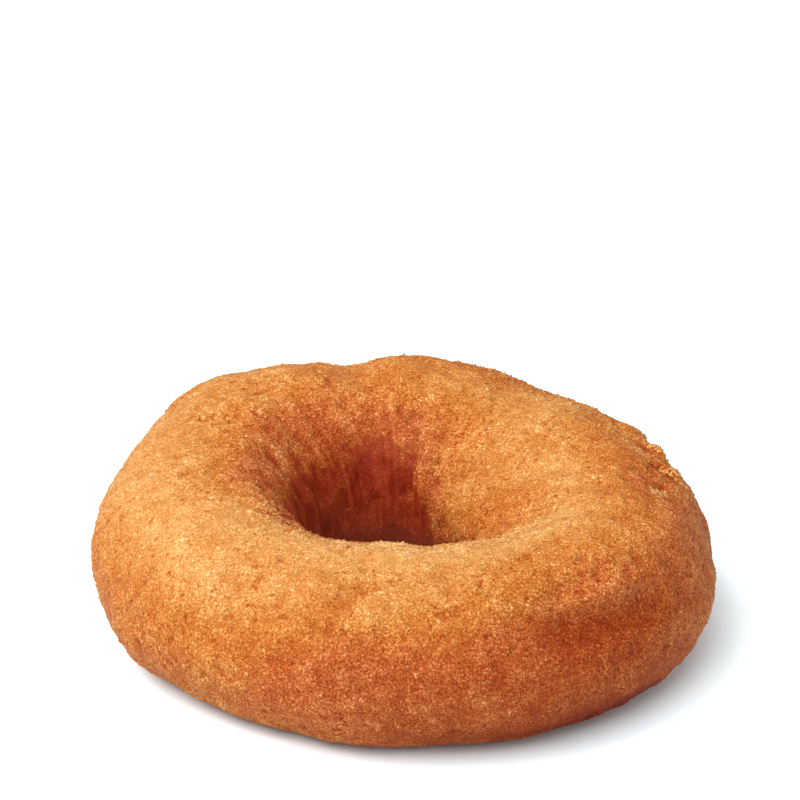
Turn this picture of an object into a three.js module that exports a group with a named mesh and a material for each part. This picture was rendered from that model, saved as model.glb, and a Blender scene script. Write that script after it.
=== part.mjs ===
// A plain old-fashioned ring doughnut: one uneven fried ring round a funnel-shaped hole.
// Millimetres, +Z up. The origin is on the base, under the middle of the ring, and -Y is the front.
//
// A place on the crust is a turn and a roll, both in degrees. The turn goes round the hole, seen
// from above, from +X (0) through the back (90) and the left (180) to the front (270). The roll
// goes round the ring's section, from the outer side (0) over the crown (90) to the hole's wall
// (180) and under the base (270).

import * as THREE from "three";

// Driving dimensions of the even ring
const OUTER_DIAMETER = 89;
const HOLE_DIAMETER = 23;
const HEIGHT = 26;
const GIRTH_HEIGHT = 10.8; // height of the widest part of the side over the base
const SECTION_FULLNESS = 2.15; // 2 gives an elliptical section, and more a squarer one

// The outline is longer by the stretch, each way, along one turn, and shorter by it across that
const OVAL_STRETCH = 1.4;
const OVAL_TURN = 140;

// The hole lies off the middle of the outline, towards one turn
const HOLE_SHIFT = 2.6;
const HOLE_SHIFT_TURN = 215;

// The round underside is pressed flat where it rests
const BASE_PRESS = 1.4; // depth that is pressed away
const BASE_EDGE = 0.9; // rounding between the flat and the side, as a depth

// Unevenness of the ring: a swell of so many millimetres, centred at a turn and fading over a spread
const OUTLINE_SWELLS = [
  { turn: 16, spread: 24, rise: -0.8 }, // the right side is drawn in a little
  { turn: 138, spread: 18, rise: 0.8 }, // full back-left shoulder
  { turn: 161, spread: 11, rise: -1.2 }, // flatter stretch between the shoulder and the left
  { turn: 195, spread: 12, rise: 0.7 }, // full left front
  { turn: 216, spread: 16, rise: 1.1 }, // and on towards the front
  { turn: 270, spread: 26, rise: 0.8 }, // full front
  { turn: 334, spread: 22, rise: 1.2 }, // full right front
];
const CROWN_SWELLS = [
  { turn: 60, spread: 12, rise: -0.6 }, // low stretch beside the back
  { turn: 78, spread: 18, rise: 1.1 }, // high back
  { turn: 122, spread: 46, rise: 1.1 }, // the back-left stands high all along
  { turn: 268, spread: 45, rise: -1.0 }, // the front sits lowest
];
const HOLE_SWELLS = [
  { turn: 238, spread: 26, rise: 0.7 }, // the hole is fuller towards the front left
  { turn: 310, spread: 30, rise: 1.6 }, // and towards the front right
];

// Hollows and bulges on the crust: length along the turn, width along the roll and rise in
// millimetres, and the slant of the length in degrees
const CRUST_FORMS = [
  { turn: 104, roll: 66, long: 5, wide: 12, slant: 0, rise: -1.4 }, // saddle in the back rim
  { turn: 56, roll: 56, long: 7, wide: 9, slant: 0, rise: -1.0 }, // shallow hollow in the back-right rim
  { turn: 136, roll: 40, long: 9, wide: 8, slant: 0, rise: 0.7 }, // brow of the back-left shoulder
  { turn: 308, roll: 33, long: 13, wide: 4.5, slant: -6, rise: -1.7 }, // hollow along the right front
  { turn: 304, roll: 4, long: 11, wide: 6, slant: 0, rise: 0.8 }, // bulge below that hollow
  { turn: 11, roll: 57, long: 8, wide: 2.4, slant: 8, rise: -1.2 }, // crease beside the right rim
  { turn: 14, roll: 43, long: 8, wide: 2.6, slant: 8, rise: 0.9 }, // lip outside that crease
  { turn: 330, roll: 122, long: 16, wide: 10, slant: 0, rise: -2.2 }, // gentle slope right of the hole
  { turn: 20, roll: 170, long: 14, wide: 10, slant: 0, rise: 1.6 }, // foot of that slope
  { turn: 232, roll: 114, long: 8, wide: 7, slant: 0, rise: -0.6 }, // low rim at the front left
];

// Low waves all over the crust, of rising number round the hole
const WAVE_COUNT = 12;
const WAVE_FEWEST = 3; // number round the hole of the longest wave
const WAVE_MOST_ROLLS = 2; // most times that a wave runs round the section
const WAVE_RISE = 0.06;

// Upright folds where the dough stretched down the hole, in rows of rising number
const FOLD_ROWS = 3;
const FOLD_FEWEST = 13; // number round the hole in the first row
const FOLD_STEP = 7; // number added by each row
const FOLD_RISE = 0.2;

// Facets round the ring and round its section
const TURN_FACETS = 132;
const ROLL_FACETS = 40;

const FULL_TURN = 360;
const GOLDEN = 0.618034; // the golden ratio's fraction, which spreads phases evenly
const CRUST_COLOUR = 0xd98a45;
const CRUST_ROUGHNESS = 0.65;

const radians = THREE.MathUtils.degToRad;

// Shortest way from one angle to another, in degrees
function angleBetween(from, to) {
  const half = FULL_TURN / 2;
  return THREE.MathUtils.euclideanModulo(to - from + half, FULL_TURN) - half;
}

// Sum of the swells at a turn
function swellAt(swells, turn) {
  let sum = 0;
  for (const swell of swells) {
    const away = angleBetween(swell.turn, turn) / swell.spread;
    sum += swell.rise * Math.exp(-away * away);
  }
  return sum;
}

// Phase of one member of an evenly spread sequence, in radians
function phase(index) {
  return 2 * Math.PI * ((index * GOLDEN) % 1);
}

// Section at a turn: its centre's distance from the axis, its half width, and its reach up and down
function sectionAt(turn) {
  const oval = OVAL_STRETCH * Math.cos(2 * radians(turn - OVAL_TURN));
  const outer = OUTER_DIAMETER / 2 + oval + swellAt(OUTLINE_SWELLS, turn);
  const shift = HOLE_SHIFT * Math.cos(radians(turn - HOLE_SHIFT_TURN));
  const hole = HOLE_DIAMETER / 2 + shift + swellAt(HOLE_SWELLS, turn);
  return {
    centre: (outer + hole) / 2,
    width: (outer - hole) / 2,
    up: HEIGHT + swellAt(CROWN_SWELLS, turn) - GIRTH_HEIGHT,
    down: GIRTH_HEIGHT + BASE_PRESS,
  };
}

// Low waves: each runs some times round the hole and a few times, either way, round the section
function waves(turn, roll) {
  let sum = 0;
  for (let i = 0; i < WAVE_COUNT; i++) {
    const roundHole = WAVE_FEWEST + i;
    const roundSection = (i % (2 * WAVE_MOST_ROLLS + 1)) - WAVE_MOST_ROLLS;
    sum += Math.cos(roundHole * radians(turn) + roundSection * radians(roll) + phase(i));
  }
  return WAVE_RISE * sum;
}

// Upright folds, deepest on the hole's wall and gone at the crown, each row shallower than the last
function folds(turn, roll) {
  const onWall = Math.max(0, -Math.cos(radians(roll)));
  let sum = 0;
  for (let row = 0; row < FOLD_ROWS; row++) {
    const roundHole = FOLD_FEWEST + FOLD_STEP * row;
    sum += Math.cos(roundHole * radians(turn) + phase(WAVE_COUNT + row)) / (1 + row);
  }
  return FOLD_RISE * onWall * onWall * sum;
}

// Hollows and bulges that stand out by themselves, each fading away from its middle
function forms(turn, roll, section) {
  let sum = 0;
  for (const form of CRUST_FORMS) {
    const distance = section.centre + section.width * Math.cos(radians(form.roll));
    const along = radians(angleBetween(form.turn, turn)) * distance;
    const across = radians(angleBetween(form.roll, roll)) * section.width;
    const cosine = Math.cos(radians(form.slant));
    const sine = Math.sin(radians(form.slant));
    const u = (along * cosine + across * sine) / form.long;
    const v = (across * cosine - along * sine) / form.wide;
    sum += form.rise * Math.exp(-u * u - v * v);
  }
  return sum;
}

// Height over the base once the underside is pressed flat, with a round edge to the flat
function pressed(height) {
  if (height <= -BASE_EDGE) return 0;
  if (height >= BASE_EDGE) return height;
  return (height + BASE_EDGE) ** 2 / (4 * BASE_EDGE);
}

// Point of the crust at a turn and a roll
function crustPoint(turn, roll) {
  const section = sectionAt(turn);
  const sideways = Math.cos(radians(roll));
  const upright = Math.sin(radians(roll));
  const across = Math.abs(sideways) / section.width;
  const along = Math.abs(upright) / (upright > 0 ? section.up : section.down);
  const even = (across ** SECTION_FULLNESS + along ** SECTION_FULLNESS) ** (-1 / SECTION_FULLNESS);
  const reach = even + waves(turn, roll) + folds(turn, roll) + forms(turn, roll, section);
  const distance = section.centre + reach * sideways;
  const height = pressed(GIRTH_HEIGHT + reach * upright);
  return new THREE.Vector3(distance * Math.cos(radians(turn)), distance * Math.sin(radians(turn)), height);
}

// The ring: a torus whose points are moved onto the crust, centred over the origin
function doughnutGeometry() {
  const centre = (OUTER_DIAMETER + HOLE_DIAMETER) / 4;
  const width = (OUTER_DIAMETER - HOLE_DIAMETER) / 4;
  const geometry = new THREE.TorusGeometry(centre, width, ROLL_FACETS, TURN_FACETS);
  const { position, uv } = geometry.attributes;
  for (let i = 0; i < position.count; i++) {
    const point = crustPoint(FULL_TURN * (uv.getX(i) % 1), FULL_TURN * (uv.getY(i) % 1));
    position.setXYZ(i, point.x, point.y, point.z);
  }
  geometry.computeBoundingBox();
  const middle = geometry.boundingBox.getCenter(new THREE.Vector3());
  geometry.translate(-middle.x, -middle.y, 0);
  geometry.computeVertexNormals();
  return geometry;
}

const crust = new THREE.MeshStandardMaterial({
  color: CRUST_COLOUR,
  roughness: CRUST_ROUGHNESS,
  metalness: 0,
});
const ring = new THREE.Mesh(doughnutGeometry(), crust);
ring.name = "doughnut";

const doughnut = new THREE.Group();
doughnut.add(ring);

export default doughnut;
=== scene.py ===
"""Dresses the solid of a plain old-fashioned ring doughnut: a sandy fried crust, the crumb that clings to
it, and a pale stage. The file is laid out as an add-on and is run as a script."""

import functools
import itertools
import math
from typing import NamedTuple

import bpy
import numpy as np
from mathutils import Matrix, Vector


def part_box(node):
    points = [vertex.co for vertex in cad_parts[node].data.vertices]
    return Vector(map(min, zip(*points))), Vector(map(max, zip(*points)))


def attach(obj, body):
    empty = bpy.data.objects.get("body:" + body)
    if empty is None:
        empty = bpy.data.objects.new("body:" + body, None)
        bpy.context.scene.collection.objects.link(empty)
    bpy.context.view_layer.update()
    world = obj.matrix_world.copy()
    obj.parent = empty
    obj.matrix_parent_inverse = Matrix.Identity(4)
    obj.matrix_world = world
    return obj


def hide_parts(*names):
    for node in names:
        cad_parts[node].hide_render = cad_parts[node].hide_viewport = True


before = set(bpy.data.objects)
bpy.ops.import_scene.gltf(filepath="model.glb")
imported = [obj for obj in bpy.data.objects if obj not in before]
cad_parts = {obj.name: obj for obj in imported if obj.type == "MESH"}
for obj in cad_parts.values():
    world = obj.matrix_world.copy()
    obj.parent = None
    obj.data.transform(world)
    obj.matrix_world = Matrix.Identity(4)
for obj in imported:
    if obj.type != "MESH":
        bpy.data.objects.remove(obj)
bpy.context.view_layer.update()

bl_info = {
    "name": "Old-Fashioned Ring Doughnut",
    "version": (1, 0, 0),
    "blender": (4, 5, 0),
    "location": "3D View > Sidebar > Doughnut",
    "description": "Makes the crust, the clinging crumb and the stage of a plain fried ring doughnut",
    "category": "Add Mesh",
}

# Lengths in the shape functions are millimetres, and meshes are metres
MM = 0.001
FULL_TURN = 360.0
GOLDEN = 0.618034  # the golden ratio's fraction, which spreads phases evenly

# A place on the crust is a turn round the hole (0 right, 90 back, 180 left, 270 front) and a roll round
# the ring's section (0 outer side, 90 crown, 180 the hole's wall, 270 base), both in degrees

# The even ring
GIRTH_HEIGHT = 10.8  # height of the widest part of the side
SECTION_FULLNESS = 2.15  # 2 is an ellipse, and more is squarer
OVAL_STRETCH = 1.4
OVAL_TURN = 140.0
HOLE_SHIFT = 2.6
HOLE_SHIFT_TURN = 215.0
BASE_PRESS = 1.4  # depth that is pressed away
BASE_EDGE = 0.9  # rounding beside the flat, as a depth

# Swells of the ring: turn, spread, rise
OUTLINE_SWELLS = (
    (16, 24, -0.8),  # the right side is drawn in a little
    (138, 18, 0.8),  # full back-left shoulder
    (161, 11, -1.2),  # flatter stretch between the shoulder and the left
    (195, 12, 0.7),  # full left front
    (216, 16, 1.1),  # and on towards the front
    (270, 26, 0.8),  # full front
    (334, 22, 1.2),  # full right front
)
CROWN_SWELLS = (
    (60, 12, -0.6),  # low stretch beside the back
    (78, 18, 1.1),  # high back
    (122, 46, 1.1),  # the back-left stands high all along
    (268, 45, -1.0),  # the front sits lowest
)
HOLE_SWELLS = (
    (238, 26, 0.7),  # the hole is fuller towards the front left
    (310, 30, 1.6),  # and towards the front right
)

# Hollows and bulges: turn, roll, length along the turn, width along the roll, slant, rise
CRUST_FORMS = (
    (104, 66, 5, 12, 0, -1.4),  # saddle in the back rim
    (56, 56, 7, 9, 0, -1.0),  # shallow hollow in the back-right rim
    (136, 40, 9, 8, 0, 0.7),  # brow of the back-left shoulder
    (308, 33, 13, 4.5, -6, -1.7),  # hollow along the right front
    (304, 4, 11, 6, 0, 0.8),  # bulge below that hollow
    (11, 57, 8, 2.4, 8, -0.4),  # crease beside the right rim, softer than the solid's
    (14, 43, 8, 2.6, 8, 0.2),  # lip outside that crease, lower than the solid's
    (330, 122, 16, 10, 0, -2.2),  # gentle slope into the hole on the right
    (20, 170, 14, 10, 0, 1.6),  # foot of that slope, which narrows the hole
    (232, 114, 8, 7, 0, -0.6),  # low rim on the front left of the hole
)

# Low waves all over and upright folds down the hole
WAVE_COUNT = 12
WAVE_FEWEST = 3
WAVE_MOST_ROLLS = 2
WAVE_RISE = 0.06
FOLD_ROWS = 3
FOLD_FEWEST = 13
FOLD_STEP = 7
FOLD_RISE = 0.1  # half the solid's, because the crust softens them

# The solid's facets, over which its outline is centred, and the crust's finer ones
SOLID_TURNS = 132
SOLID_ROLLS = 40
CRUST_TURNS = 600
CRUST_ROLLS = 166
BASE_SPARING = 0.45  # how much wider apart the crust's rows are under the base

NOISE_CELLS = 48  # the noise lattice repeats after so many cells
SMALLEST_PIT = 0.4  # radius of the smallest pit as a share of the largest


def radians(degrees):
    return np.deg2rad(degrees)


def ease(value, low, high):
    """Smooth step: 0 up to low, 1 from high, and an S-shaped cubic between."""
    part = np.clip((value - low) / (high - low), 0.0, 1.0)
    return part * part * (3.0 - 2.0 * part)


def angle_between(start, end):
    """Shortest way from one angle to another, in degrees."""
    return (end - start + FULL_TURN / 2) % FULL_TURN - FULL_TURN / 2


def phase(index):
    """Phase of one member of an evenly spread sequence, in radians."""
    return 2 * math.pi * ((index * GOLDEN) % 1)


def swell_at(swells, turn):
    """Sum of bell curves round the turn."""
    return sum(rise * np.exp(-((angle_between(at, turn) / spread) ** 2)) for at, spread, rise in swells)


def section_at(turn, outer_diameter, hole_diameter, height):
    """Section at a turn: half an oval outline and half a shifted hole give its centre and half width."""
    oval = OVAL_STRETCH * np.cos(2 * radians(turn - OVAL_TURN))
    outer = outer_diameter / 2 + oval + swell_at(OUTLINE_SWELLS, turn)
    shift = HOLE_SHIFT * np.cos(radians(turn - HOLE_SHIFT_TURN))
    hole = hole_diameter / 2 + shift + swell_at(HOLE_SWELLS, turn)
    up = height + swell_at(CROWN_SWELLS, turn) - GIRTH_HEIGHT
    return (outer + hole) / 2, (outer - hole) / 2, up, GIRTH_HEIGHT + BASE_PRESS


def waves(turn, roll):
    """Low waves: cosines that run some times round the hole and a few times round the section."""
    total = 0.0
    for i in range(WAVE_COUNT):
        round_hole = WAVE_FEWEST + i
        round_section = i % (2 * WAVE_MOST_ROLLS + 1) - WAVE_MOST_ROLLS
        total = total + np.cos(round_hole * radians(turn) + round_section * radians(roll) + phase(i))
    return WAVE_RISE * total


def folds(turn, roll):
    """Upright folds: cosines round the hole, deepest on its wall and gone at the crown."""
    on_wall = np.maximum(0.0, -np.cos(radians(roll)))
    total = 0.0
    for row in range(FOLD_ROWS):
        round_hole = FOLD_FEWEST + FOLD_STEP * row
        total = total + np.cos(round_hole * radians(turn) + phase(WAVE_COUNT + row)) / (1 + row)
    return FOLD_RISE * on_wall**2 * total


def form_bell(form, turn, roll, centre, width):
    """Bell of height 1 over a slanted ellipse on the crust, its half axes in millimetres."""
    at_turn, at_roll, length, breadth, slant = form
    distance = centre + width * np.cos(radians(at_roll))
    along = radians(angle_between(at_turn, turn)) * distance
    across = radians(angle_between(at_roll, roll)) * width
    cosine = math.cos(math.radians(slant))
    sine = math.sin(math.radians(slant))
    u = (along * cosine + across * sine) / length
    v = (across * cosine - along * sine) / breadth
    return np.exp(-u * u - v * v)


def pressed(height):
    """Height once the underside is pressed flat: 0 below, itself above, and a parabola between."""
    bent = (height + BASE_EDGE) ** 2 / (4 * BASE_EDGE)
    return np.where(height >= BASE_EDGE, height, np.where(height <= -BASE_EDGE, 0.0, bent))


def ring_points(turn, roll, sizes):
    """Points of the ring: a superellipse section swept round the hole, moved out by waves, folds and
    forms, then pressed flat below."""
    centre, width, up, down = section_at(turn, *sizes)
    sideways = np.cos(radians(roll))
    upright = np.sin(radians(roll))
    across = (np.abs(sideways) / width) ** SECTION_FULLNESS
    along = (np.abs(upright) / np.where(upright > 0, up, down)) ** SECTION_FULLNESS
    reach = (across + along) ** (-1 / SECTION_FULLNESS) + waves(turn, roll) + folds(turn, roll)
    for *form, rise in CRUST_FORMS:
        reach = reach + rise * form_bell(form, turn, roll, centre, width)
    distance = centre + reach * sideways
    height = pressed(GIRTH_HEIGHT + reach * upright)
    x = distance * np.cos(radians(turn))
    y = distance * np.sin(radians(turn))
    return np.stack(np.broadcast_arrays(x, y, height), axis=-1)


def grid_angles(turns, rolls, sparing=0.0):
    """Columns of turns and rows of rolls. With sparing, rows gather on the crown and thin out below."""
    turn = np.arange(turns)[:, None] * FULL_TURN / turns
    even = np.arange(rolls)[None, :] * FULL_TURN / rolls
    roll = even + sparing * np.rad2deg(np.cos(radians(even)))
    return turn, roll


def ring_shift(sizes):
    """Move that centres the solid's outline over the origin."""
    points = ring_points(*grid_angles(SOLID_TURNS, SOLID_ROLLS), sizes).reshape(-1, 3)
    middle = (points.min(axis=0) + points.max(axis=0)) / 2
    return np.array((-middle[0], -middle[1], 0.0))


def grid_normals(points):
    """Outward normals of a closed grid: the cross product of its differences round and across."""
    along = np.roll(points, -1, 0) - np.roll(points, 1, 0)
    across = np.roll(points, -1, 1) - np.roll(points, 1, 1)
    normals = np.cross(along, across)
    return normals / np.linalg.norm(normals, axis=-1, keepdims=True)


def lattice_noise(points, cell, seed):
    """Smooth noise from -1 to 1: random values on a cubic lattice, blended from the eight corners round
    each point with eased weights."""
    lattice = np.random.default_rng(seed).uniform(-1.0, 1.0, (NOISE_CELLS,) * 3)
    place = points / cell
    low = np.floor(place)
    part = ease(place - low, 0.0, 1.0)
    low = low.astype(int)
    total = 0.0
    for corner in itertools.product((0, 1), repeat=3):
        index = (low + corner) % NOISE_CELLS
        weight = np.prod(np.where(corner, part, 1.0 - part), axis=-1)
        total = total + weight * lattice[index[..., 0], index[..., 1], index[..., 2]]
    return total


def cell_pits(points, cell, radius, seed):
    """Scattered pits from 0 to 1: each cell of a cubic lattice holds one centre, and a pit is the square
    of how far inside its own radius a point lies."""
    rng = np.random.default_rng(seed)
    centres = rng.uniform(0.0, 1.0, (NOISE_CELLS,) * 3 + (3,))
    radii = rng.uniform(SMALLEST_PIT, 1.0, (NOISE_CELLS,) * 3) * radius
    place = points / cell
    low = np.floor(place).astype(int)
    deepest = np.zeros(points.shape[:-1])
    for corner in itertools.product((-1, 0, 1), repeat=3):
        index = tuple(np.moveaxis((low + corner) % NOISE_CELLS, -1, 0))
        away = np.linalg.norm(place - (low + corner) - centres[index], axis=-1) * cell
        deepest = np.maximum(deepest, np.clip(1.0 - away / radii[index], 0.0, 1.0) ** 2)
    return deepest


# Fine relief of the crust. A noise is its cell, its height and its seed
BROAD_LUMPS = ((11.0, 0.28, 1), (5.5, 0.24, 2), (3.0, 0.17, 3))
SANDY_LUMPS = ((2.2, 0.10, 5), (1.4, 0.12, 6), (0.9, 0.08, 7))
PIT_CELL = 3.6
PIT_RADIUS = 1.4
PIT_DEPTH = 0.7
PIT_SEED = 11
CRATER_CELL = 11.0
CRATER_RADIUS = 2.8
CRATER_DEPTH = 0.7
CRATER_SEED = 12
RELIEF_HEIGHTS = (0.2, 2.5)  # the relief fades in between these heights over the base

# Small marks of the crust: turn, roll, length along the turn, width along the roll, slant, rise
CRUST_MARKS = (
    (24, 45, 3.0, 2.0, 0, 0.6),  # ridge behind the torn right rim
    (14, 48, 2.0, 0.9, 32, -1.6),  # slit in the torn right rim
    (15, 42, 2.0, 1.0, 30, 0.9),  # lip outside that slit
    (4, 48.5, 2.0, 0.9, 33, -1.4),  # second slit
    (3, 43, 1.6, 1.0, 30, 0.9),  # lip outside the second slit
    (1, 55, 1.1, 1.0, 0, -0.8),  # pit beside the slits
    (354, 51.5, 1.8, 0.7, -43, -0.8),  # crease before the slits
    (341, 53, 3.5, 2.2, 0, -0.5),  # shallow hollow on the right
    (336, 47, 8, 3, 0, 0.5),  # ridge between the crown and the right side
    (314, 38.5, 6, 2.3, -6, 1.6),  # knob over the hollow along the right front
    (312, 24.5, 12, 3.0, -6, -1.0),  # floor of that hollow
    (302, 33, 1.8, 1.1, 0, -0.4),  # pit in that hollow
    (303.5, 48, 2.4, 1.3, 0, -0.4),  # pit above the hollow
    (314.5, 8, 1.6, 1.3, 0, -0.5),  # pit below the hollow
    (257, 54, 3.0, 1.3, 20, -0.5),  # slanted pit on the front
    (262, 67, 2.2, 1.4, 0, -0.4),  # pit above that
    (278, 48, 3.0, 1.5, 0, -0.5),  # pit in the middle of the front
    (280, 73, 2.0, 1.2, 0, -0.35),  # pit near the front crown
    (254, 37, 4.0, 0.9, -20, -0.6),  # slanted crease low on the front
)

# The hole's deep brown, partly browner crust and partly painted shade, begins at a roll that shifts round
# the hole and is ragged: turn, spread, shift
DARK_ROLL = 141.0
DARK_SWELLS = (
    (25, 44, 60),  # far down on the right wall
    (66, 9, 10),  # lower right of the back
    (92, 16, -4),  # higher at the back
    (335, 30, 45),  # far down on the right front
    (131, 9, 11),  # a paler gap at the back left
    (155, 7, -8),  # higher again beside that gap
    (181, 13, 12),  # lower on the left
    (235, 30, -22),  # higher at the front left
)
DARK_EDGE = (-18.0, 12.0)  # way past that roll over which the brown and painted shade grow from none to all of it
DARK_RAGGED = 12.0  # raggedness in degrees of roll
DARK_WANDER = 20.0  # and in degrees of turn
DARK_STREAKS = 0.15  # share by which upright streaks stay paler
DARK_STREAK_VALUES = (-0.1, 0.5)  # noise over which those streaks grow
RAGGED_NOISES = ((2.4, 1.0, 13), (1.1, 0.8, 14))
WANDER_NOISES = ((2.6, 1.0, 17), (1.2, 0.5, 18))
DARK_STREAK_NOISES = ((1.8, 1.0, 15),)
UPRIGHT_STRETCH = (1.0, 1.0, 0.45)  # shares of x, y and height at which upright noise is read
UNDERSIDE = (250.0, 300.0)  # rolls over which the hole's brown and painted shade and its slope's brown fade out

# Browning, from 0 on the golden crown to 1 in the hole; the same share also carries painted shade and
# painted light where noted below
CROWN_BROWNING = 0.25
# The sides are browner partly as crust and partly as painted shade where they turn from the light
SIDE_BROWNING_AND_SHADE = 0.42
SIDE_ROLLS = (8.0, 62.0)  # rolls over which the side's browning fades out towards the crown
SIDE_EVEN = 0.3  # share of the side's browning that is there all round
SIDE_SWELLS = ((293, 62, 0.7),)  # and the rest, at the right front
SLOPE_BROWNING = 0.26
SLOPE_ROLLS = (92.0, 130.0)  # rolls over which the slope to the hole browns
LIT_SLOPE_SWELLS = ((20, 45, 1.0),)  # painted light: the slope stays golden on the right, where the light falls on it
MOST_BROWNING = 0.68  # outside the hole
HOLE_BROWN_AND_SHADE = 1.3  # how fast the hole's brown and painted shade take over below its edge
PATCH_BROWNING = 0.07
PATCH_NOISES = ((9.0, 1.0, 21), (4.0, 0.6, 22))
# Pits and craters are browner partly as crust and partly as painted shade in them
PIT_BROWNING_AND_SHADE = 0.16
MARK_BROWNING_AND_SHADE = 0.12  # for each millimetre of a mark's depth, partly browner crust and partly painted shade in the mark

# Depth of the crust's colour over an even crust: more in hollows, partly as thicker crust and partly as
# painted shade, and less on what stands out
PIT_DEPTH_AND_SHADE_SHARE = 0.1
MARK_DEPTH_AND_SHADE_SHARE = 0.25  # for each millimetre of a mark's depth, partly deeper crust and partly painted shade in the mark
BROAD_PALING = 0.1  # for each millimetre of the broad lumps
SANDY_PALING = 0.6  # for each millimetre of the sandy lumps

# Patches that browned more or less, some of them painted light or shade as noted: turn, roll, length along
# the turn, width along the roll, slant, amount
BROWN_PATCHES = (
    (275, 88, 26, 15, 0, -0.04),  # golden front crown
    (250, 106, 12, 7, 0, -0.16),  # golden rim at the front left of the hole
    (268, 42, 13, 7, 0, -0.14),  # golden front
    (240, 10, 8, 5, 0, -0.05),  # paler low left front
    (218, 62, 18, 16, 0, -0.26),  # golden left front
    (178, 50, 15, 12, 0, -0.2),  # golden left
    (160, 60, 16, 10, 0, -0.15),  # golden shoulder at the back left
    (30, 118, 14, 12, 0, -0.08),  # golden slope on the right of the hole
    (32, 157, 4, 4, 0, -0.12),  # and further down that slope
    (335, 160, 4, 4, 0, -0.08),  # low right wall
    (15, 145, 7, 7, 0, 0.05),  # browner between those two
    (82, 113, 16, 7, 0, -0.17),  # golden slope at the back of the hole
    (300, 110, 24, 9, 0, -0.34),  # golden rim at the front of the hole
    (35, 178, 16, 5, 0, 0.2),  # foot of the right wall
    (135, 112, 22, 9, 0, 0.12),  # brown slope at the back left of the hole
    (190, 101, 7, 5, 0, 0.12),  # and at its left
    (162, 133, 4, 4, 0, -0.14),  # paler left wall of the hole: painted light on that wall
    (130, 68, 14, 8, 0, -0.08),  # golden back-left rim
    (185, 134, 5, 5, 0, 0.14),  # browner beside the paler left wall
    (262, 5, 14, 7, 0, 0.1),  # brown low front
    (250, -30, 24, 5, 0, -0.12),  # paler edge of the base at the front: painted light from the floor
    (310, 22, 17, 6, 0, 0.1),  # in the hollow along the right front
    (300, 55, 20, 7, 0, 0.1),  # brown shoulder over that hollow
    (345, 3, 12, 9, 0, -0.11),  # paler low right side
    (342, 38, 9, 4.5, 0, 0.14),  # brown upper right side: painted shade where the side turns from the light
    (5, 53, 11, 6, 8, 0.08),  # along the torn right rim
    (351, 63, 6, 5, 0, 0.22),  # before the torn rim
    (14, 80, 7, 6, 0, 0.08),  # brown right crown
    (41, 80, 9, 7, 0, -0.14),  # golden back right
    (316, 46, 6, 4, 0, 0.07),  # knob over the hollow
    (324, 31, 5, 4, 0, 0.08),  # beside the knob
    (61, 65, 8, 4.0, 0, 0.19),  # along the back-right rim
)

# Patches that are deeper or paler in colour, some of them painted shade or light as noted, in the same
# order
DEEP_PATCHES = (
    (309, -25, 18, 5, 0, 0.24),  # low right front: painted shade near the floor
    (313, -28, 25, 2.2, 0, 0.45),  # and the edge of the base below it: painted shade where it meets the floor
    (13.5, 47, 1.8, 0.9, 32, 0.9),  # far wall of the slit in the right rim: painted shade in the slit
    (3.5, 47, 1.8, 0.9, 33, 0.8),  # and of the second slit: painted shade there too
    (162, 132, 4, 4, 0, -0.15),  # paler left wall of the hole: painted light on that wall
    (128, 156, 10, 5, 0, 0.1),  # deep back wall of the hole: painted shade
    (272, 107, 10, 4, 0, -0.08),  # pale front rim of the hole
    (306, 12, 13, 8, 0, 0.06),  # below the hollow along the right front
    (345, 3, 12, 9, 0, -0.06),  # paler right side
    (262, 32, 10, 6, 0, 0.06),  # deeper low front
)

# Where crumbs stand up from the crust, in the same order
TUFT_PATCHES = (
    (232, 114, 12, 3, 0, 3.0),  # rim at the front left of the hole
    (280, 117, 14, 3, 0, 2.0),  # and at its front right
    (175, 112, 12, 7, 0, 0.4),  # slope on the left of the hole
    (10, 48, 9, 4, 8, 2.0),  # torn crust on the right rim
    (58, 60, 16, 4, 0, 1.2),  # back-right rim
)

# Where the crust is torn to flakes, in the same order
TEAR_PATCHES = (
    (15.5, 41.5, 2.0, 0.8, 30, 1.0),  # lip of the slit in the right rim
    (3, 42, 1.6, 0.8, 30, 1.0),  # lip of the second slit
    (350, 53, 1.5, 1.2, 0, 0.3),  # before the slits
    (236, 115, 7, 1.5, 0, 0.4),  # rim at the front left of the hole
)

# Streaks where the dough stretched down to the hole: a cell of their noise in degrees of turn and roll
STREAK_CELL = (2.5, 18.0)
STREAK_LAYER = 0.5  # layer of the noise in which they lie
STREAK_SEED = 16
STREAK_DEPTH = 0.22
STREAK_TOP = (100.0, 125.0)  # rolls over which they fade in below the crown
STREAK_FOOT = (165.0, 200.0)  # and out at the hole's foot
STREAK_TURN = 145.0  # turn at the middle of the stretch that has them
STREAK_SIDES = (55.0, 90.0)  # way from that turn over which they fade out

# Crumbs gather on sandy lumps, a few between them, and hardly any down in the hole
FUZZ_NOISES = ((5.0, 0.08, 23),)
FUZZ_LUMPS = (-0.12, 0.12)  # height of the lumps over which the crumbs gather
FUZZ_LEAST = 0.15  # share of them between the lumps
FUZZ_LOSS = 0.94  # share that is lost in the hole
FUZZ_LOSS_BROWNING = (0.72, 1.0)  # browning over which it is lost
TUFT_LEAST = 0.05  # standing crumbs outside their patches
TUFT_LOSS_BROWNING = (0.6, 0.85)  # browning over which standing crumbs are lost


class CrustShape(NamedTuple):
    """Arrays of the dressed crust: browning and depth, which also carry painted shade and painted light,
    colour it, and fuzz, tufts and tears gather crumbs
    """

    points: np.ndarray
    normals: np.ndarray
    browning: np.ndarray
    depth: np.ndarray
    fuzz: np.ndarray
    tufts: np.ndarray
    tears: np.ndarray


def noise_sum(points, noises):
    """Sum of noises, each with its own cell, height and seed."""
    return sum(rise * lattice_noise(points, cell, seed) for cell, rise, seed in noises)


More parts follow.
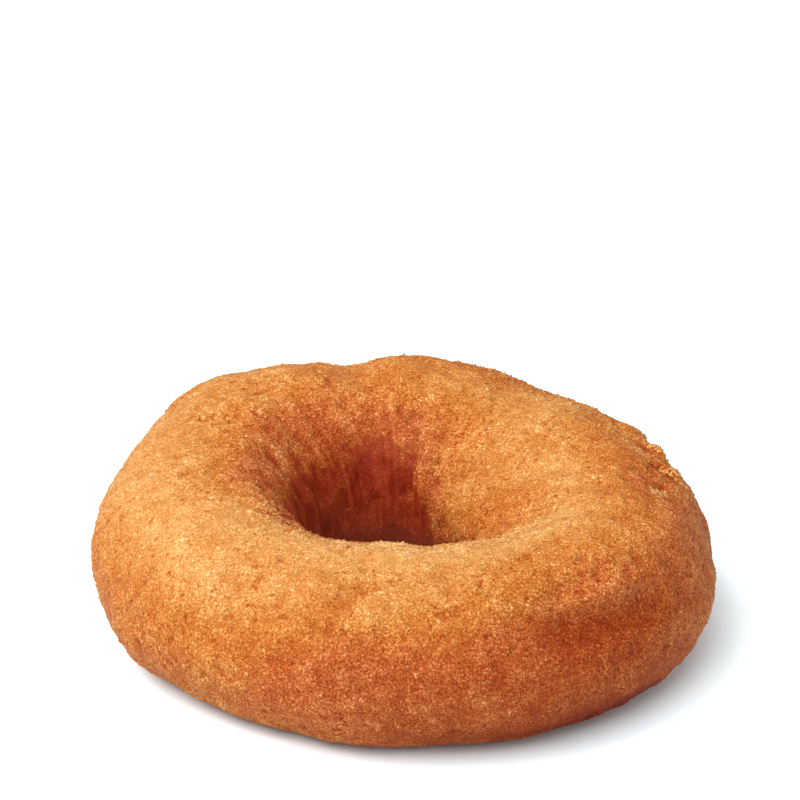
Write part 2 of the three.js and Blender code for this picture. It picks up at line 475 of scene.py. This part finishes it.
def bells(places, turn, roll, sizes):
    """Sum of bells on the crust, each with its own place and amount."""
    centre, width, _, _ = section_at(turn, *sizes)
    return sum(amount * form_bell(place, turn, roll, centre, width) for *place, amount in places)


def streaks(turn, roll):
    """Streaks from -1 to 1 down the slope to the hole: noise over turn and roll, drawn out along the roll,
    that fades in below the crown, out at the hole's foot and away from the back left."""
    turn_cell, roll_cell = STREAK_CELL
    flat = np.stack(np.broadcast_arrays(turn / turn_cell, roll / roll_cell, STREAK_LAYER), axis=-1)
    around = roll % FULL_TURN
    down = ease(around, *STREAK_TOP) * (1.0 - ease(around, *STREAK_FOOT))
    beside = ease(np.abs(angle_between(STREAK_TURN, turn)), *STREAK_SIDES)
    return lattice_noise(flat, 1.0, STREAK_SEED) * down * (1.0 - beside)


def hole_brown_and_shade(turn, roll, points):
    """Share of the hole's deep brown, partly browner crust and partly painted shade: 0 above its edge,
    which noise drawn out upright makes ragged, and 1 below, down to the base, less in streaks of noise
    drawn out in the same way."""
    around = roll % FULL_TURN
    upright = points * UPRIGHT_STRETCH
    wander = DARK_WANDER * noise_sum(points, WANDER_NOISES)
    ragged = DARK_RAGGED * noise_sum(upright, RAGGED_NOISES)
    edge = DARK_ROLL + swell_at(DARK_SWELLS, turn + wander) + ragged
    dark = ease(around - edge, *DARK_EDGE) * (1.0 - ease(around, *UNDERSIDE))
    return dark * (1.0 - DARK_STREAKS * ease(noise_sum(upright, DARK_STREAK_NOISES), *DARK_STREAK_VALUES))


def browning_and_shade_at(turn, roll, points, sizes):
    """Share of browning outside the hole: the sides brown most at the right front, partly as painted shade,
    and the slope to the hole a little, except on the right, where painted light keeps it golden, and
    patches, some of them painted light or shade, and noise add to that."""
    around = roll % FULL_TURN
    side = 1.0 - ease(angle_between(0.0, roll), *SIDE_ROLLS)
    slope = ease(around, *SLOPE_ROLLS) * (1.0 - ease(around, *UNDERSIDE))
    browning = CROWN_BROWNING + SIDE_BROWNING_AND_SHADE * side * (SIDE_EVEN + swell_at(SIDE_SWELLS, turn))
    browning = browning + SLOPE_BROWNING * slope * (1.0 - swell_at(LIT_SLOPE_SWELLS, turn))
    browning = browning + bells(BROWN_PATCHES, turn, roll, sizes)
    return browning + PATCH_BROWNING * noise_sum(points, PATCH_NOISES)


@functools.lru_cache(maxsize=1)
def crust_shape(sizes):
    """The ring with its fine relief: lumps of noise, pits, craters and marks are added along the normals,
    and the same measures tell how browned, how deep in colour and how crumby each point is; the colour in
    pits, craters and sunk marks is partly painted shade."""
    turn, roll = grid_angles(CRUST_TURNS, CRUST_ROLLS, BASE_SPARING)
    points = ring_points(turn, roll, sizes) + ring_shift(sizes)
    broad = noise_sum(points, BROAD_LUMPS)
    sandy = noise_sum(points, SANDY_LUMPS)
    pits = cell_pits(points, PIT_CELL, PIT_RADIUS, PIT_SEED)
    craters = cell_pits(points, CRATER_CELL, CRATER_RADIUS, CRATER_SEED)
    marked = bells(CRUST_MARKS, turn, roll, sizes)
    relief = broad + sandy - PIT_DEPTH * pits - CRATER_DEPTH * craters + marked
    off_base = ease(points[..., 2], *RELIEF_HEIGHTS)
    dressed = points + (off_base * relief)[..., None] * grid_normals(points)
    dressed[..., 2] = np.maximum(dressed[..., 2], 0.0)

    # Pits, craters and sunk marks are browner and deeper partly as crust and partly as painted shade
    sunk = np.maximum(0.0, -marked)
    hollow = PIT_BROWNING_AND_SHADE * (pits + craters) + MARK_BROWNING_AND_SHADE * sunk
    browning = np.clip(browning_and_shade_at(turn, roll, points, sizes) + hollow, 0.0, MOST_BROWNING)
    # The hole's share is partly browner crust and partly painted shade
    dark = np.minimum(1.0, HOLE_BROWN_AND_SHADE * hole_brown_and_shade(turn, roll, points))
    browning = browning + (1.0 - browning) * dark

    depth = PIT_DEPTH_AND_SHADE_SHARE * (pits + craters) + MARK_DEPTH_AND_SHADE_SHARE * sunk
    depth = depth - BROAD_PALING * broad - SANDY_PALING * sandy
    depth = depth + STREAK_DEPTH * streaks(turn, roll) + bells(DEEP_PATCHES, turn, roll, sizes)

    lumpy = ease(sandy + noise_sum(points, FUZZ_NOISES), *FUZZ_LUMPS)
    fuzz = FUZZ_LEAST + (1.0 - FUZZ_LEAST) * lumpy
    tufts = TUFT_LEAST + bells(TUFT_PATCHES, turn, roll, sizes)
    return CrustShape(
        points=dressed,
        normals=grid_normals(dressed),
        browning=browning,
        depth=depth,
        fuzz=fuzz * (1.0 - FUZZ_LOSS * ease(browning, *FUZZ_LOSS_BROWNING)),
        tufts=tufts * (1.0 - ease(browning, *TUFT_LOSS_BROWNING)),
        tears=bells(TEAR_PATCHES, turn, roll, sizes),
    )


def grid_quads(turns, rolls):
    """Faces of a closed grid: each point with the next round, the next across and the one between."""
    column = np.arange(turns)[:, None]
    row = np.arange(rolls)[None, :]
    next_column = (column + 1) % turns
    next_row = (row + 1) % rolls
    corners = ((column, row), (next_column, row), (next_column, next_row), (column, next_row))
    return np.stack([c * rolls + r for c, r in corners], axis=-1).reshape(-1, 4)


def grid_unwrap(turns, rolls):
    """Flat map of a closed grid: each face's corners at its column and row, as shares of the whole."""
    column = np.arange(turns)[:, None] * np.ones((1, rolls))
    row = np.ones((turns, 1)) * np.arange(rolls)[None, :]
    corners = ((column, row), (column + 1, row), (column + 1, row + 1), (column, row + 1))
    return np.stack([np.stack((c / turns, r / rolls), axis=-1) for c, r in corners], axis=2).reshape(-1, 2)


def make_piece(name, points, faces, unwrap, shares, material, normals=None):
    """Puts arrays into a mesh object at the origin, with its flat map, its named shares and, if given, the
    normals by which it is shaded."""
    mesh = bpy.data.meshes.new(name)
    mesh.vertices.add(len(points))
    mesh.vertices.foreach_set("co", (points * MM).astype(np.float32).ravel())
    mesh.loops.add(faces.size)
    mesh.loops.foreach_set("vertex_index", faces.astype(np.int32).ravel())
    mesh.polygons.add(len(faces))
    mesh.polygons.foreach_set("loop_start", np.arange(0, faces.size, faces.shape[1], dtype=np.int32))
    mesh.update(calc_edges=True)
    mesh.shade_smooth()
    if normals is not None:
        mesh.normals_split_custom_set_from_vertices(normals)
    mesh.uv_layers.new(name="OFBake").uv.foreach_set("vector", unwrap.astype(np.float32).ravel())
    for share, values in shares.items():
        layer = mesh.attributes.new(share, "FLOAT", "POINT")
        layer.data.foreach_set("value", values.astype(np.float32).ravel())
    mesh.materials.append(material)
    piece = bpy.data.objects.new(name, mesh)
    bpy.context.scene.collection.objects.link(piece)
    return piece


def make_node(tree, kind, inputs=None, **options):
    """Adds a shader node. An input that is a socket is linked, and any other is set."""
    node = tree.nodes.new(kind)
    for name, value in options.items():
        setattr(node, name, value)
    for name, value in (inputs or {}).items():
        socket = node.inputs[name]
        if isinstance(value, bpy.types.NodeSocket):
            tree.links.new(value, socket)
        else:
            socket.default_value = value
    return node


def maths(tree, operation, first, second=0.0, third=0.0):
    """Output of a Math node on up to three sockets or numbers."""
    node = make_node(tree, "ShaderNodeMath", {0: first, 1: second, 2: third}, operation=operation)
    return node.outputs[0]


def noise(tree, place, size, detail=2.0, roughness=0.6):
    """Noise from 0 to 1 whose features are about the given size in metres."""
    inputs = {"Vector": place, "Scale": 1.0 / size, "Detail": detail, "Roughness": roughness}
    return make_node(tree, "ShaderNodeTexNoise", inputs).outputs["Fac"]


def grains(tree, place, size):
    """Distance from the middle of the nearest grain, about 0 to 1, for grains of the given size."""
    inputs = {"Vector": place, "Scale": 1.0 / size}
    return make_node(tree, "ShaderNodeTexVoronoi", inputs).outputs["Distance"]


def share(tree, name):
    """Value of one of the piece's named shares."""
    return make_node(tree, "ShaderNodeAttribute", attribute_name=name).outputs["Fac"]


def between(tree, value, start, end, first=0.0, last=1.0):
    """Straight change of a socket: first up to start, last from end, and even between them."""
    inputs = {"Value": value, "From Min": start, "From Max": end, "To Min": first, "To Max": last}
    return make_node(tree, "ShaderNodeMapRange", inputs).outputs["Result"]


def opaque(colour):
    return (*colour, 1.0)


# Browning at which each of the crust's colours is reached
COLOUR_STEPS = {
    "gold_colour": 0.0,
    "amber_colour": 0.25,
    "brown_colour": 0.5,
    "russet_colour": 0.66,
    # the ember and hole colours stand partly for browner crust and partly for painted shade in the hole
    "ember_colour": 0.82,
    "hole_colour": 1.0,
}

# Sizes of the crust's grain in metres, and the finer steps in the coarser noises
SAND_SIZE = 0.0003  # also of the bump
GAP_SIZE = 0.00048
CREVICE_SIZE = 0.0011
FLECK_SIZE = 0.0014
PATCH_SIZE = 0.005
COARSE_DETAIL = 3.0

# How far flecks and patches deepen and pale the crust, and the values at which they and gaps do neither
FLECK_CONTRAST = 0.4
PATCH_CONTRAST = 0.5
NOISE_MIDDLE = 0.5
GAP_MIDDLE = 0.45

# Crevices open where their noise, raised by a share of the patches, is high, and close in the hole
CREVICE_CLUSTERING = 0.5
CREVICE_VALUES = (0.84, 0.96)
CREVICE_OUTSIDE = (0.5, 0.75, 1.0, 0.0)  # range of browning, and the shares at its ends

# The grain is calmer on the most golden crust and down in the hole, in the same order
GOLDEN_CALM = (0.0, 0.3, 0.75, 1.0)
HOLE_CALM = (0.6, 1.0, 1.0, 0.4)

# Gloss and bump of the crust
ROUGHNESS_SPREAD = 0.25
ROUGHNESS_DROP = 0.12  # how far under the mean the roughness starts
SPECULAR_LEVEL = 0.08
GAP_BUMP = -0.5
BUMP_STRENGTH = 0.25
BUMP_DISTANCE = 0.0002


def crust_colour(tree, settings, browning):
    """Colour of the crust, which goes evenly from each colour of the settings to the next as it browns."""
    ramp = make_node(tree, "ShaderNodeValToRGB", {"Fac": browning})
    elements = ramp.color_ramp.elements
    for i, (name, position) in enumerate(COLOUR_STEPS.items()):
        element = elements[i] if i < len(elements) else elements.new(position)
        element.position = position
        element.color = opaque(getattr(settings, name))
    return ramp.outputs["Color"]


def crust_crevices(tree, place, patches, browning):
    """Small crevices from 0 to 1: where their noise and the patches are high together outside the hole."""
    crevices = noise(tree, place, CREVICE_SIZE, COARSE_DETAIL)
    crevices = maths(tree, "MULTIPLY_ADD", patches, CREVICE_CLUSTERING, crevices)
    crevices = between(tree, crevices, *CREVICE_VALUES)
    return maths(tree, "MULTIPLY", crevices, between(tree, browning, *CREVICE_OUTSIDE))


def crust_grain(tree, settings, place, sand, patches, gaps):
    """Grain round 0 that deepens the crust where it is high: low noise and gaps between grains raise it."""
    flecks = noise(tree, place, FLECK_SIZE)
    grain = maths(tree, "MULTIPLY", maths(tree, "SUBTRACT", gaps, GAP_MIDDLE), settings.gap_contrast)
    contrasts = ((sand, settings.sand_contrast), (flecks, FLECK_CONTRAST), (patches, PATCH_CONTRAST))
    for value, contrast in contrasts:
        grain = maths(tree, "MULTIPLY_ADD", maths(tree, "SUBTRACT", NOISE_MIDDLE, value), contrast, grain)
    return grain


def crust_material(settings, name):
    """Fried crust: browning, which also carries painted shade, picks a colour from gold to the hole's
    brown, and a depth is the power that deepens or pales it, as thicker or thinner crust does, and as
    painted shade and painted light do where noted. The piece itself, the grain and small crevices, which
    are browner too, add to the depth. Sand and the gaps between grains also raise the bump."""
    material = bpy.data.materials.new(name)
    material.use_nodes = True
    tree = material.node_tree
    tree.nodes.clear()
    place = make_node(tree, "ShaderNodeTexCoord").outputs["Object"]
    sand = noise(tree, place, SAND_SIZE)
    patches = noise(tree, place, PATCH_SIZE, COARSE_DETAIL)
    gaps = grains(tree, place, GAP_SIZE)
    browning = share(tree, "browning")
    golden = between(tree, browning, *GOLDEN_CALM)
    crevices = crust_crevices(tree, place, patches, browning)

    depth = maths(tree, "ADD", share(tree, "depth"), 1.0)
    calm_crevices = maths(tree, "MULTIPLY", crevices, golden)
    depth = maths(tree, "MULTIPLY_ADD", calm_crevices, settings.crevice_depth, depth)
    grain = maths(tree, "MULTIPLY", crust_grain(tree, settings, place, sand, patches, gaps), golden)
    depth = maths(tree, "MULTIPLY_ADD", grain, between(tree, browning, *HOLE_CALM), depth)
    spotted = maths(tree, "MULTIPLY_ADD", crevices, settings.crevice_browning, browning)
    colour = crust_colour(tree, settings, spotted)
    colour = make_node(tree, "ShaderNodeGamma", {"Color": colour, "Gamma": depth}).outputs["Color"]

    rough = maths(tree, "MULTIPLY_ADD", sand, ROUGHNESS_SPREAD, settings.roughness - ROUGHNESS_DROP)
    height = maths(tree, "MULTIPLY_ADD", gaps, GAP_BUMP, sand)
    bump = {"Height": height, "Strength": BUMP_STRENGTH, "Distance": BUMP_DISTANCE}
    shader = make_node(tree, "ShaderNodeBsdfPrincipled", {
        "Base Color": colour,
        "Roughness": rough,
        "Normal": make_node(tree, "ShaderNodeBump", bump).outputs["Normal"],
        "Specular IOR Level": SPECULAR_LEVEL,
    })
    make_node(tree, "ShaderNodeOutputMaterial", {"Surface": shader.outputs["BSDF"]})
    return material


# A crumb is the coarsest grid of a ball: four points round its middle and one at each end
CRUMB_POINTS = np.array(((1, 0, 0), (0, 1, 0), (-1, 0, 0), (0, -1, 0), (0, 0, 1), (0, 0, -1)), float)
CRUMB_FACES = np.array((
    (0, 1, 4), (1, 2, 4), (2, 3, 4), (3, 0, 4),
    (1, 0, 5), (2, 1, 5), (3, 2, 5), (0, 3, 5)))
CRUMB_HIGHLIGHT_AND_SHADE_DEPTHS = np.array((0.0, 0.04, 0.0, 0.04, -0.06, 0.1))  # depth of colour: least on top, a painted highlight, and most below, painted shade at the foot
CRUMB_LENGTHS = (0.5, 1.3)  # range of lengths as shares of the mean
CRUMB_UNEVENNESS = (0.7, 1.3)  # range of how far out each point lies
CRUMB_SINKING = 0.3  # how deep a crumb is set, as a share of half its height
CRUMB_HEIGHTS = (0.6, 3.0)  # crumbs set in between these heights over the base
CRUMB_ROUNDNESS = 0.5  # how far a crumb is shaded as round, and not like the crust below it
CRUMB_COLUMNS = 160  # crumbs in one row of their flat map
CRUMB_REACH = 0.35  # how far a crumb reaches from the middle of its square in that map
PALING_LOSS = 0.5  # share of its paling that a crumb loses on fully browned crust
WALL_PALING = 0.25  # share by which a crumb on the hole's wall may stay less browned than the wall
WALL_BROWNING = (0.5, 0.75)  # browning over which that sets in
CRUMB_SEED = 31


def crumb_places(shape, gathering, count, rng):
    """Seats of the crumbs: faces of the crust drawn by their area above the base, and a random point in
    each, with its normal and shares blended from the face's corners."""
    corners = grid_quads(CRUST_TURNS, CRUST_ROLLS)
    points = shape.points.reshape(-1, 3)
    diagonals = points[corners[:, 2]] - points[corners[:, 0]], points[corners[:, 3]] - points[corners[:, 1]]
    area = np.linalg.norm(np.cross(*diagonals), axis=1)
    area = area * ease(points[corners[:, 0], 2], *CRUMB_HEIGHTS) * gathering.ravel()[corners[:, 0]]
    chosen = corners[rng.choice(len(corners), count, p=area / area.sum())]
    u = rng.uniform(0.0, 1.0, count)
    v = rng.uniform(0.0, 1.0, count)
    weights = np.stack(((1 - u) * (1 - v), u * (1 - v), u * v, (1 - u) * v), axis=1)

    def blend(values):
        flat = values.reshape(len(points), -1)
        return (weights[..., None] * flat[chosen]).sum(axis=1)

    normals = blend(shape.normals)
    normals = normals / np.linalg.norm(normals, axis=1, keepdims=True)
    return blend(shape.points), normals, blend(shape.browning)[:, 0], blend(shape.depth)[:, 0]


def crumb_axes(normals, tilt, rng):
    """Three square directions for each crumb: a random one leaning along the crust, one across it, and
    one that stands out of it, tilted at random."""
    lean = rng.normal(0.0, 1.0, normals.shape)
    upright = normals + tilt * rng.normal(0.0, 1.0, normals.shape)
    upright = upright / np.linalg.norm(upright, axis=1, keepdims=True)
    length = np.cross(upright, lean)
    length = length / np.linalg.norm(length, axis=1, keepdims=True)
    return np.stack((length, np.cross(upright, length), upright), axis=1)


class CrumbKind(NamedTuple):
    """What sets one kind of crumbs apart from the others"""

    gather: str  # the share of the crust by which they gather
    number: float  # as a share of the count in the settings
    length: float  # as a share of the length in the settings
    fried: float  # share of the crust's browning and depth that they take on
    paling: float  # most by which their depth is less than the crust's, partly paler crumb and partly painted glints
    tilt: float
    breadths: tuple  # range of breadths as shares of a crumb's own length
    heights: tuple  # and of heights


CRUMB_KINDS = {
    "pale": CrumbKind("fuzz", 1.0, 1.0, 1.0, 0.3, 0.2, (0.5, 0.9), (0.35, 0.7)),
    "golden": CrumbKind("fuzz", 1.0, 1.0, 1.0, 0.15, 0.2, (0.5, 0.9), (0.35, 0.7)),
    "amber": CrumbKind("fuzz", 1.0, 1.0, 1.0, -0.05, 0.2, (0.5, 0.9), (0.35, 0.7)),
    "standing": CrumbKind("tufts", 0.16, 1.7, 0.9, 0.3, 0.4, (0.4, 0.9), (0.5, 1.0)),
    "torn": CrumbKind("tears", 0.012, 1.8, 0.1, 0.4, 0.7, (0.4, 0.8), (0.5, 1.0)),
}


def crumb_points(seats, normals, axes, length, kind, rng):
    """Points of the crumbs: a ball's coarsest grid, drawn out to a random length, breadth and height, made
    uneven at random, turned to the crumb's axes and set into the crust at its seat."""
    count = len(seats)
    long = kind.length * length * rng.uniform(*CRUMB_LENGTHS, count)
    broad = long * rng.uniform(*kind.breadths, count)
    high = long * rng.uniform(*kind.heights, count)
    halves = 0.5 * np.stack((long, broad, high), axis=1)
    uneven = rng.uniform(*CRUMB_UNEVENNESS, (count, len(CRUMB_POINTS), 1))
    local = CRUMB_POINTS[None] * halves[:, None] * uneven
    sunk = CRUMB_SINKING * halves[:, None, 2:] * normals[:, None]
    return seats[:, None] + np.einsum("cpa,cax->cpx", local, axes) - sunk


def crumb_unwrap(count):
    """Flat map of the crumbs: each seen from above in its own square, row by row."""
    square = np.stack((np.arange(count) % CRUMB_COLUMNS, np.arange(count) // CRUMB_COLUMNS), axis=1)
    flat = (square[:, None] + 0.5 + CRUMB_REACH * CRUMB_POINTS[None, :, :2]) / CRUMB_COLUMNS
    return flat[:, CRUMB_FACES.ravel()].reshape(-1, 2)


def crumb_arrays(shape, count, length, kind, seed):
    """Joined crumbs of one kind: uneven eight-faced grains set into the crust, each paler than it by a
    random part of the kind's paling, which is partly paler crumb and partly painted glints."""
    count = round(count * kind.number)
    rng = np.random.default_rng(seed)
    seats, normals, browning, depth = crumb_places(shape, getattr(shape, kind.gather), count, rng)
    axes = crumb_axes(normals, kind.tilt, rng)
    points = crumb_points(seats, normals, axes, length, kind, rng)
    faces = CRUMB_FACES[None] + len(CRUMB_POINTS) * np.arange(count)[:, None, None]
    # The paling is partly paler crumb and partly painted glints
    paling = kind.paling * rng.uniform(0.0, 1.0, count) * (1.0 - PALING_LOSS * browning)
    unbrowned = WALL_PALING * rng.uniform(0.0, 1.0, count) * ease(browning, *WALL_BROWNING)
    shares = {
        "browning": np.repeat(kind.fried * browning * (1.0 - unbrowned), len(CRUMB_POINTS)),
        "depth": (kind.fried * depth - paling)[:, None] + CRUMB_HIGHLIGHT_AND_SHADE_DEPTHS,
    }
    shading = normals[:, None] + CRUMB_ROUNDNESS * np.einsum("pa,cax->cpx", CRUMB_POINTS, axes)
    shading = shading / np.linalg.norm(shading, axis=-1, keepdims=True)
    return points.reshape(-1, 3), faces.reshape(-1, 3), crumb_unwrap(count), shares, shading.reshape(-1, 3)


class CrustSettings(bpy.types.PropertyGroup):
    """Sizes and colours of the crust"""

    outer_diameter: bpy.props.FloatProperty(
        name="Outer Diameter", description="Mean diameter of the ring", default=0.089, unit="LENGTH")
    hole_diameter: bpy.props.FloatProperty(
        name="Hole Diameter", description="Mean diameter of the hole", default=0.023, unit="LENGTH")
    height: bpy.props.FloatProperty(
        name="Height", description="Mean height of the crown over the base", default=0.026, unit="LENGTH")
    gold_colour: bpy.props.FloatVectorProperty(
        name="Gold", description="Colour of the least browned crust", subtype="COLOR",
        default=(0.428, 0.187, 0.0475))
    amber_colour: bpy.props.FloatVectorProperty(
        name="Amber", description="Colour of the crown", subtype="COLOR", default=(0.369, 0.1185, 0.0183))
    brown_colour: bpy.props.FloatVectorProperty(
        name="Brown", description="Colour of the sides", subtype="COLOR", default=(0.329, 0.0765, 0.0146))
    russet_colour: bpy.props.FloatVectorProperty(
        name="Russet", description="Colour of the brownest sides", subtype="COLOR",
        default=(0.285, 0.0595, 0.0112))
    # The ember and hole colours stand partly for browner crust and partly for painted shade in the hole
    ember_colour: bpy.props.FloatVectorProperty(
        name="Ember", description="Colour of the edge of the hole's brown", subtype="COLOR",
        default=(0.236, 0.0430, 0.0042))
    hole_colour: bpy.props.FloatVectorProperty(
        name="Hole", description="Colour down in the hole", subtype="COLOR",
        default=(0.207, 0.0218, 0.0050))
    sand_contrast: bpy.props.FloatProperty(
        name="Sand Contrast", description="How far the finest grain deepens and pales the crust",
        default=1.95)
    gap_contrast: bpy.props.FloatProperty(
        name="Gap Contrast", description="How far the gaps between the grains deepen the crust",
        default=0.2)
    crevice_browning: bpy.props.FloatProperty(
        name="Crevice Browning", description="How much browner the small crevices are", default=0.2)
    crevice_depth: bpy.props.FloatProperty(
        name="Crevice Depth", description="How far the small crevices deepen the crust", default=0.24)
    roughness: bpy.props.FloatProperty(
        name="Roughness", description="Mean roughness of the crust", default=0.6, subtype="FACTOR")

    def sizes(self):
        """Driving dimensions in millimetres."""
        return tuple(round(size / MM, 4) for size in (self.outer_diameter, self.hole_diameter, self.height))


class CrumbSettings(bpy.types.PropertyGroup):
    """Number and size of the crumbs that cling to the crust"""

    count: bpy.props.IntProperty(
        name="Count", description="Number of crumbs of each kind", default=24000)
    length: bpy.props.FloatProperty(
        name="Length", description="Mean length of a crumb", default=0.00055, unit="LENGTH", precision=5)


class StageSettings(bpy.types.PropertyGroup):
    """Floor, light and camera"""

    floor_size: bpy.props.FloatProperty(
        name="Floor Size", description="Side of the square floor", default=6.0, unit="LENGTH")
    floor_colour: bpy.props.FloatVectorProperty(
        name="Floor", description="Colour of the floor", subtype="COLOR", default=(0.87, 0.967, 1.0))
    key_turn: bpy.props.FloatProperty(
        name="Key Turn", description="Turn round the ring from which the key light shines",
        default=math.radians(214.0), subtype="ANGLE")
    key_elevation: bpy.props.FloatProperty(
        name="Key Elevation", description="Height of the key light over the horizon",
        default=math.radians(57.0), subtype="ANGLE")
    key_width: bpy.props.FloatProperty(
        name="Key Width", description="Width of the key light", default=1.5, unit="LENGTH")
    key_height: bpy.props.FloatProperty(
        name="Key Height", description="Height of the key light", default=0.7, unit="LENGTH")
    key_power: bpy.props.FloatProperty(
        name="Key Power", description="Power of the soft key light", default=17.2, unit="POWER")
    fill_strength: bpy.props.FloatProperty(
        name="Fill Strength", description="Strength of the white light from all round", default=0.8)
    camera_elevation: bpy.props.FloatProperty(
        name="Camera Elevation", description="Height of the camera over the horizon",
        default=math.radians(28.0), subtype="ANGLE")
    camera_distance: bpy.props.FloatProperty(
        name="Camera Distance", description="Distance from the camera to the ring's middle",
        default=0.62, unit="LENGTH")


def dress(piece):
    """Ties a piece to the solid: it moves with the ring."""
    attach(piece, "root")


class MakeCrust(bpy.types.Operator):
    """Makes the fried crust, which stands for the solid ring"""

    bl_idname = "doughnut.make_crust"
    bl_label = "Make Crust"

    def execute(self, context):
        settings = context.scene.doughnut_crust
        shape = crust_shape(settings.sizes())
        shares = {"browning": shape.browning, "depth": shape.depth}
        piece = make_piece(
            "crust", shape.points.reshape(-1, 3), grid_quads(CRUST_TURNS, CRUST_ROLLS),
            grid_unwrap(CRUST_TURNS, CRUST_ROLLS), shares, crust_material(settings, "fried crust"))
        dress(piece)
        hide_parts("doughnut")
        return {"FINISHED"}


class MakeCrumbs(bpy.types.Operator):
    """Makes the crumbs that cling to the crust"""

    bl_idname = "doughnut.make_crumbs"
    bl_label = "Make Crumbs"

    def execute(self, context):
        settings = context.scene.doughnut_crust
        crumbs = context.scene.doughnut_crumbs
        shape = crust_shape(settings.sizes())
        for i, (name, kind) in enumerate(CRUMB_KINDS.items()):
            *arrays, normals = crumb_arrays(shape, crumbs.count, crumbs.length / MM, kind, CRUMB_SEED + i)
            material = crust_material(settings, f"{name} crumb")
            piece = make_piece(f"{name}_crumbs", *arrays, material, normals)
            dress(piece)
        return {"FINISHED"}


# The photograph's frame: its width and the place of the ring's middle, in pixels
FRAME_WIDTH = 800
MIDDLE_PIXEL = (403, 535)
PIXELS_PER_MM = 6.88  # at the ring's middle

SENSOR_WIDTH = 36.0  # millimetres
KEY_DISTANCE = 0.9  # metres
FLOOR_ROUGHNESS = 0.8
WHITE = (1.0, 1.0, 1.0)


def make_camera(settings, middle):
    """Camera in front of and over the ring, turned a little so that the ring's middle lies on its pixel."""
    elevation = settings.camera_elevation
    back = Vector((0.0, -math.cos(elevation), math.sin(elevation)))
    focal_pixels = PIXELS_PER_MM * settings.camera_distance / MM
    data = bpy.data.cameras.new("camera")
    data.sensor_width = SENSOR_WIDTH
    data.lens = SENSOR_WIDTH * focal_pixels / FRAME_WIDTH
    right, down = (math.atan((pixel - FRAME_WIDTH / 2) / focal_pixels) for pixel in MIDDLE_PIXEL)
    aim = (-back).to_track_quat("-Z", "Y").to_matrix().to_4x4()
    turned = aim @ Matrix.Rotation(down, 4, "X") @ Matrix.Rotation(right, 4, "Y")
    camera = bpy.data.objects.new("camera", data)
    camera.matrix_world = Matrix.Translation(middle + back * settings.camera_distance) @ turned
    bpy.context.scene.collection.objects.link(camera)
    bpy.context.scene.camera = camera


def make_key(settings, middle):
    """Broad soft light that looks at the ring from a turn and an elevation."""
    turn = settings.key_turn
    elevation = settings.key_elevation
    level = math.cos(elevation)
    towards = Vector((math.cos(turn) * level, math.sin(turn) * level, math.sin(elevation)))
    data = bpy.data.lights.new("key", "AREA")
    data.shape = "RECTANGLE"
    data.size = settings.key_width
    data.size_y = settings.key_height
    data.energy = settings.key_power
    light = bpy.data.objects.new("key", data)
    light.location = middle + towards * KEY_DISTANCE
    light.rotation_mode = "QUATERNION"
    light.rotation_quaternion = (-towards).to_track_quat("-Z", "Y")
    bpy.context.scene.collection.objects.link(light)


def make_floor(settings):
    """Flat square floor: a grid of two by two corners at height 0."""
    half = settings.floor_size / MM / 2
    points = np.array(((-half, -half, 0.0), (half, -half, 0.0), (half, half, 0.0), (-half, half, 0.0)))
    unwrap = np.array(((0, 0), (1, 0), (1, 1), (0, 1)))
    material = bpy.data.materials.new("pale floor")
    material.use_nodes = True
    shader = material.node_tree.nodes["Principled BSDF"]
    shader.inputs["Base Color"].default_value = opaque(settings.floor_colour)
    shader.inputs["Roughness"].default_value = FLOOR_ROUGHNESS
    floor = make_piece("floor", points, np.arange(4)[None], unwrap, {}, material)


class MakeStage(bpy.types.Operator):
    """Makes the floor, the light and the camera"""

    bl_idname = "doughnut.make_stage"
    bl_label = "Make Stage"

    def execute(self, context):
        settings = context.scene.doughnut_stage
        low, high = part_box("doughnut")
        middle = Vector((0.0, 0.0, (low[2] + high[2]) / 2))
        make_floor(settings)
        make_key(settings, middle)
        world = bpy.data.worlds.new("soft white")
        world.use_nodes = True
        background = world.node_tree.nodes["Background"]
        background.inputs["Color"].default_value = opaque(WHITE)
        background.inputs["Strength"].default_value = settings.fill_strength
        context.scene.world = world
        context.scene.view_settings.view_transform = "Standard"
        make_camera(settings, middle)
        return {"FINISHED"}


class DoughnutPanel(bpy.types.Panel):
    """Lists the doughnut's pieces and their settings"""

    bl_idname = "VIEW3D_PT_doughnut"
    bl_label = "Doughnut"
    bl_space_type = "VIEW_3D"
    bl_region_type = "UI"
    bl_category = "Doughnut"

    def draw(self, context):
        for operator, group in zip(OPERATORS, SETTINGS):
            box = self.layout.box()
            settings = getattr(context.scene, group)
            for name in settings.__annotations__:
                box.prop(settings, name)
            box.operator(operator.bl_idname)


OPERATORS = (MakeCrust, MakeCrumbs, MakeStage)
SETTINGS = {
    "doughnut_crust": CrustSettings,
    "doughnut_crumbs": CrumbSettings,
    "doughnut_stage": StageSettings,
}


def register():
    for group in SETTINGS.values():
        bpy.utils.register_class(group)
    for name, group in SETTINGS.items():
        setattr(bpy.types.Scene, name, bpy.props.PointerProperty(type=group))
    for kind in (*OPERATORS, DoughnutPanel):
        bpy.utils.register_class(kind)


def unregister():
    for kind in reversed((*OPERATORS, DoughnutPanel)):
        bpy.utils.unregister_class(kind)
    for name in SETTINGS:
        delattr(bpy.types.Scene, name)
    for group in reversed(SETTINGS.values()):
        bpy.utils.unregister_class(group)


def main():
    """Makes every piece in order."""
    register()
    bpy.ops.doughnut.make_crust()
    bpy.ops.doughnut.make_crumbs()
    bpy.ops.doughnut.make_stage()


if __name__ == "__main__":
    main()
